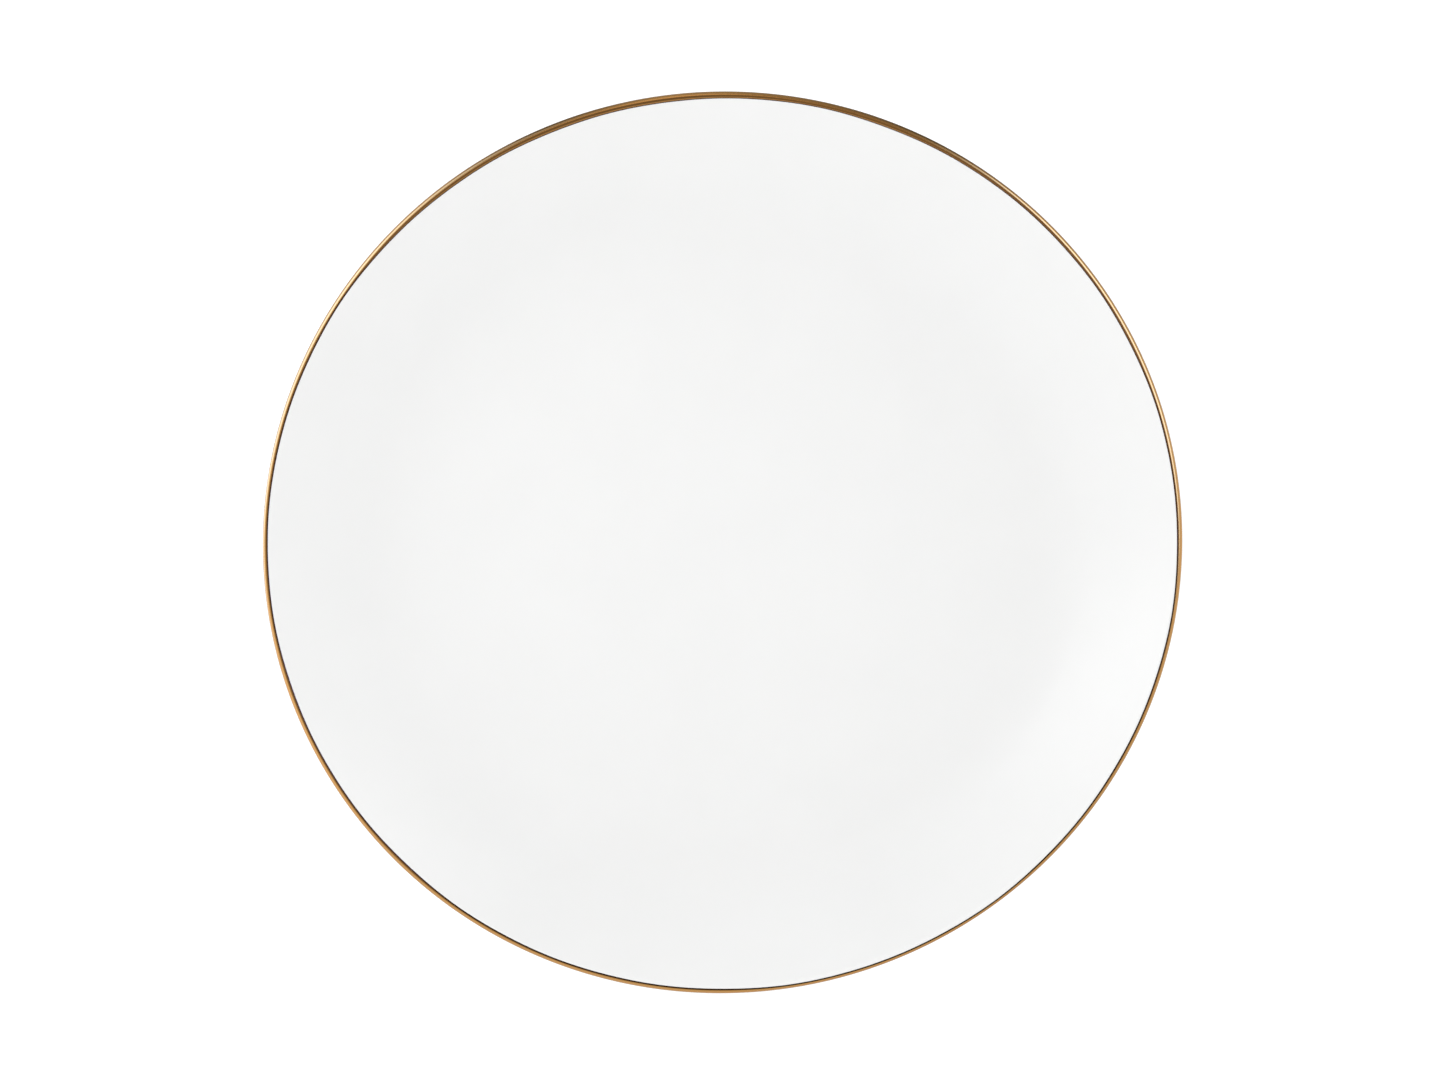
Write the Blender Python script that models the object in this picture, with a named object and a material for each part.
"""Coupe dinner plate in bone china with a gold edge line.

A shallow round plate without a raised rim: a flat well, a wall that turns up
from it in one sweep, a rounded lip, and a foot ring underneath.  The body is
one fired piece.  The glaze, the gold line and the printed mark are coats fired
on to it, and each coat is a thin closed solid of its own.

Frame: metres, +Z up, origin on the plate's axis at the level it stands on.
"""

import math
from collections import namedtuple

import bmesh
import bpy

# Finished size, over the gold line
DIAMETER = 0.275
HEIGHT = 0.025

# Face of the bare body, from the axis outwards
FLOOR_RADIUS = 0.077  # flat floor of the well
SWELL_RADIUS = 0.095  # end of the first, gentle rise
SHOULDER_RADIUS = 0.109  # end of the tighter bend into the wall
SWELL_SLOPE = math.radians(6)
SHOULDER_SLOPE = math.radians(24)
LIP_SLOPE = math.radians(29)

# Thickness of the bare body
WELL_THICKNESS = 0.0039
LIP_ROUNDING = 0.001  # radius of the lip, half its thickness

# Foot ring
FOOT_OUTER_RADIUS = 0.079
FOOT_INNER_RADIUS = 0.0735
FOOT_CORNER = 0.0008  # rounding at the ground face
FOOT_FILLET = 0.001  # hollow where the foot meets the underside
BASE_FLAT_RADIUS = 0.020  # level disc in the middle of the base
BASE_DOME = 0.0003  # rise of the base towards its middle
GLAZE_LINE = 0.0012  # height on the foot where the glaze stops

# Coats
COAT_GAP = 0.00005  # clearance under each coat
GLAZE_THICKNESS = 0.0002
GOLD_THICKNESS = 0.0001
PRINT_THICKNESS = 0.00005
GOLD_REACH = 0.0005  # how far the gold runs past the lip's rounding, on both sides

# Backstamp: a rosette of petals that joins a hub to a ring, all in one print
STAMP_RADIUS = 0.0085
STAMP_RING_WIDTH = 0.0006
STAMP_HUB_RADIUS = 0.0012
PETALS = 8
PETAL_HALF_WIDTH = 0.0009
PETAL_NECK = 0.0003  # half width where a petal meets the hub and the ring
PETAL_STEPS = 6

# Fineness of the turned shapes
TURN_STEPS = 48
SWELL_STEPS = 3
SHOULDER_STEPS = 4
WALL_STEPS = 4
CORNER_STEPS = 3
LIP_STEPS = (2, 4, 3)  # up to the lip's top, over it to the edge, and under it
MERGE_DISTANCE = 0.00001

# Finishes
BISCUIT = {"colour": (0.80, 0.78, 0.73), "roughness": 0.6}
GLAZE = {"colour": (0.88, 0.88, 0.87), "roughness": 0.08}
BASE_GLAZE = {"colour": (0.88, 0.88, 0.87), "roughness": 0.1}
FIRED_GOLD = {"colour": (0.72, 0.48, 0.20), "roughness": 0.22, "metallic": 1.0}
CERAMIC_PRINT = {"colour": (0.30, 0.24, 0.16), "roughness": 0.3}

# Levels and radii that follow from the sizes above
GLAZE_BUILD = COAT_GAP + GLAZE_THICKNESS
GOLD_BUILD = GLAZE_BUILD + COAT_GAP + GOLD_THICKNESS
BODY_RADIUS = DIAMETER / 2 - GOLD_BUILD
WALL_END_RADIUS = BODY_RADIUS - LIP_ROUNDING * (1 + math.sin(LIP_SLOPE))

# A point of an outline in the plane through the axis, with the direction that
# its surface faces, as an angle from the outward radius
Station = namedtuple("Station", "radius height facing")


def arc(centre_radius, centre_height, radius, start, end, steps, hollow=False):
    """Stations along an arc; those of a hollow arc face its centre."""
    turn = math.pi if hollow else 0.0
    angles = [start + (end - start) * i / steps for i in range(steps + 1)]
    return [
        Station(
            centre_radius + radius * math.cos(a),
            centre_height + radius * math.sin(a),
            a + turn,
        )
        for a in angles
    ]


def sweep(start, end_radius, end_slope, steps):
    """Stations of a face that turns evenly from its slope at start to end_slope."""
    start_slope = start.facing - math.pi / 2
    bend = (end_radius - start.radius) / (math.sin(end_slope) - math.sin(start_slope))
    stations = []
    for i in range(1, steps + 1):
        slope = start_slope + (end_slope - start_slope) * i / steps
        radius = start.radius + bend * (math.sin(slope) - math.sin(start_slope))
        height = start.height + bend * (math.cos(start_slope) - math.cos(slope))
        stations.append(Station(radius, height, slope + math.pi / 2))
    return stations


def offset(stations, distance):
    """The same stations moved out along the direction that each one faces."""
    return [
        Station(
            s.radius + distance * math.cos(s.facing),
            s.height + distance * math.sin(s.facing),
            s.facing,
        )
        for s in stations
    ]


def raised(stations, lift):
    """The same stations moved up by lift."""
    return [Station(s.radius, s.height + lift, s.facing) for s in stations]


def face_outline():
    """Face of the bare body, from the axis to where the lip's rounding starts."""
    face = [
        Station(0.0, 0.0, math.pi / 2),
        Station(FLOOR_RADIUS, 0.0, math.pi / 2),
    ]
    face += sweep(face[-1], SWELL_RADIUS, SWELL_SLOPE, SWELL_STEPS)
    face += sweep(face[-1], SHOULDER_RADIUS, SHOULDER_SLOPE, SHOULDER_STEPS)
    face += sweep(face[-1], WALL_END_RADIUS, LIP_SLOPE, WALL_STEPS)
    lip_top = face[-1].height + LIP_ROUNDING * (1 - math.cos(LIP_SLOPE))
    return raised(face, HEIGHT - GOLD_BUILD - lip_top)


def lip_outline(face):
    """Half round of the lip, from the face over its top and edge to the back."""
    centre = offset(face[-1:], -LIP_ROUNDING)[0]
    bounds = (LIP_SLOPE + math.pi / 2, math.pi / 2, 0.0, LIP_SLOPE - math.pi / 2)
    stations = face[-1:]
    for start, end, steps in zip(bounds, bounds[1:], LIP_STEPS):
        rounded = arc(centre.radius, centre.height, LIP_ROUNDING, start, end, steps)
        stations += rounded[1:]
    return stations


def back_outline(face):
    """Back of the wall, from the lip in to the foot, thicker towards the well."""
    stations = []
    for s in reversed(face):
        if s.radius <= FLOOR_RADIUS or s is face[-1]:
            continue
        inward = (WALL_END_RADIUS - s.radius) / (WALL_END_RADIUS - FLOOR_RADIUS)
        thickness = 2 * LIP_ROUNDING + (WELL_THICKNESS - 2 * LIP_ROUNDING) * inward
        under = offset([s], -thickness)[0]
        stations.append(Station(under.radius, under.height, s.facing - math.pi))
    return stations


def foot_outlines(under_height):
    """Outer side, ground and inner side of the foot ring, as three outlines."""
    outer = arc(
        FOOT_OUTER_RADIUS + FOOT_FILLET,
        under_height - FOOT_FILLET,
        FOOT_FILLET,
        math.pi / 2,
        math.pi,
        CORNER_STEPS,
        hollow=True,
    )
    outer.append(Station(FOOT_OUTER_RADIUS, GLAZE_LINE, 2 * math.pi))
    ground = arc(
        FOOT_OUTER_RADIUS - FOOT_CORNER,
        FOOT_CORNER,
        FOOT_CORNER,
        0.0,
        -math.pi / 2,
        CORNER_STEPS,
    )
    ground += arc(
        FOOT_INNER_RADIUS + FOOT_CORNER,
        FOOT_CORNER,
        FOOT_CORNER,
        -math.pi / 2,
        -math.pi,
        CORNER_STEPS,
    )
    inner = [Station(FOOT_INNER_RADIUS, GLAZE_LINE, math.pi)]
    inner += arc(
        FOOT_INNER_RADIUS - FOOT_FILLET,
        under_height - FOOT_FILLET,
        FOOT_FILLET,
        0.0,
        math.pi / 2,
        CORNER_STEPS,
        hollow=True,
    )
    return outer, ground, inner


def base_outline(under_height):
    """Underside of the well inside the foot ring, in to the axis."""
    top = under_height + BASE_DOME
    return [
        Station(BASE_FLAT_RADIUS, top, -math.pi / 2),
        Station(0.0, top, -math.pi / 2),
    ]


def coat_section(stations, lift, thickness):
    """Closed section of a coat: its outer skin, then back along its inner one."""
    outside = offset(stations, lift + thickness)
    inside = offset(stations, lift)
    return outside + inside[::-1]


def edge_reach(end, direction):
    """The gold's end: end moved GOLD_REACH along its surface, inwards or outwards."""
    along = end.facing + direction * math.pi / 2
    return Station(
        end.radius + GOLD_REACH * math.cos(along),
        end.height + GOLD_REACH * math.sin(along),
        end.facing,
    )


def add_material(thing, colour, roughness, metallic=0.0):
    """Give an object its own Principled material."""
    material = bpy.data.materials.new(thing.name)
    material.use_nodes = True
    shader = material.node_tree.nodes["Principled BSDF"]
    shader.inputs["Base Color"].default_value = (*colour, 1.0)
    shader.inputs["Roughness"].default_value = roughness
    shader.inputs["Metallic"].default_value = metallic
    thing.data.materials.append(material)


def add_object(name, mesh):
    """Put a mesh in the scene as an object of the same name."""
    thing = bpy.data.objects.new(name, mesh)
    bpy.context.collection.objects.link(thing)
    return thing


def turned(name, section, closed):
    """An object turned round the plate's axis from a section at +X."""
    mesh = bpy.data.meshes.new(name)
    points = [(s.radius, 0.0, s.height) for s in section]
    edges = [(i, i + 1) for i in range(len(points) - 1)]
    if closed:
        edges.append((len(points) - 1, 0))
    mesh.from_pydata(points, edges, [])
    thing = add_object(name, mesh)
    screw = thing.modifiers.new("turn", "SCREW")
    screw.axis = "Z"
    screw.steps = TURN_STEPS
    screw.render_steps = TURN_STEPS
    screw.use_merge_vertices = True
    screw.merge_threshold = MERGE_DISTANCE
    screw.use_smooth_shade = True
    return thing


def beside(radius, angle, across=0.0):
    """Point at radius along angle, moved sideways by across."""
    return (
        radius * math.cos(angle) - across * math.sin(angle),
        radius * math.sin(angle) + across * math.cos(angle),
    )


def petal_rows(angle):
    """Pairs of points across one petal, from the hub out to the ring."""
    length = STAMP_RADIUS - STAMP_RING_WIDTH - STAMP_HUB_RADIUS
    rows = []
    for i in range(PETAL_STEPS + 1):
        t = i / PETAL_STEPS
        half = PETAL_NECK + (PETAL_HALF_WIDTH - PETAL_NECK) * math.sin(math.pi * t)
        radius = STAMP_HUB_RADIUS + length * t
        rows.append((beside(radius, angle, -half), beside(radius, angle, half)))
    return rows


def backstamp(top):
    """The printed mark: hub, petals and ring share their corners in one thin solid."""
    form = bmesh.new()
    hub, inner, outer = [], [], []
    ring_inner_radius = STAMP_RADIUS - STAMP_RING_WIDTH
    for i in range(PETALS):
        angle = math.tau * i / PETALS
        between = angle + math.pi / PETALS
        rows = [
            [form.verts.new((x, y, top)) for x, y in row] for row in petal_rows(angle)
        ]
        for near, far in zip(rows, rows[1:]):
            form.faces.new((near[0], far[0], far[1], near[1]))
        hub += [*rows[0], form.verts.new((*beside(STAMP_HUB_RADIUS, between), top))]
        inner += [*rows[-1], form.verts.new((*beside(ring_inner_radius, between), top))]
    form.faces.new(hub)
    for corner in inner:
        x, y = beside(STAMP_RADIUS, math.atan2(corner.co.y, corner.co.x))
        outer.append(form.verts.new((x, y, top)))
    for i in range(len(inner)):
        form.faces.new((inner[i - 1], outer[i - 1], outer[i], inner[i]))
    made = bmesh.ops.extrude_face_region(form, geom=form.faces[:], use_keep_orig=True)
    lowered = [v for v in made["geom"] if isinstance(v, bmesh.types.BMVert)]
    bmesh.ops.translate(form, verts=lowered, vec=(0.0, 0.0, -PRINT_THICKNESS))
    bmesh.ops.recalc_face_normals(form, faces=form.faces)
    mesh = bpy.data.meshes.new("backstamp")
    form.to_mesh(mesh)
    form.free()
    return add_object("backstamp", mesh)


def build():
    """Model the plate and its coats."""
    face = face_outline()
    lip = lip_outline(face)
    back = back_outline(face)
    under_height = face[0].height - WELL_THICKNESS
    foot_outer, foot_ground, foot_inner = foot_outlines(under_height)
    base = base_outline(under_height)

    body_section = face[:-1] + lip + back
    body_section += foot_outer + foot_ground + foot_inner + base
    body = turned("china_body", body_section, closed=False)
    add_material(body, **BISCUIT)

    covered = face[:-1] + lip + back + foot_outer
    coat = turned(
        "glaze_coat", coat_section(covered, COAT_GAP, GLAZE_THICKNESS), closed=False
    )
    add_material(coat, **GLAZE)

    inside_foot = foot_inner + base
    base_section = offset(inside_foot, COAT_GAP)[::-1]
    base_section += offset(inside_foot, GLAZE_BUILD)
    base_coat = turned("base_glaze", base_section, closed=False)
    add_material(base_coat, **BASE_GLAZE)

    gold_line = [edge_reach(lip[0], 1), *lip, edge_reach(lip[-1], -1)]
    band = turned(
        "gold_rim_band",
        coat_section(gold_line, GLAZE_BUILD + COAT_GAP, GOLD_THICKNESS),
        closed=True,
    )
    add_material(band, **FIRED_GOLD)

    print_top = base[-1].height - GLAZE_BUILD - COAT_GAP
    stamp = backstamp(print_top)
    add_material(stamp, **CERAMIC_PRINT)


for old in list(bpy.data.objects):
    bpy.data.objects.remove(old, do_unlink=True)
build()
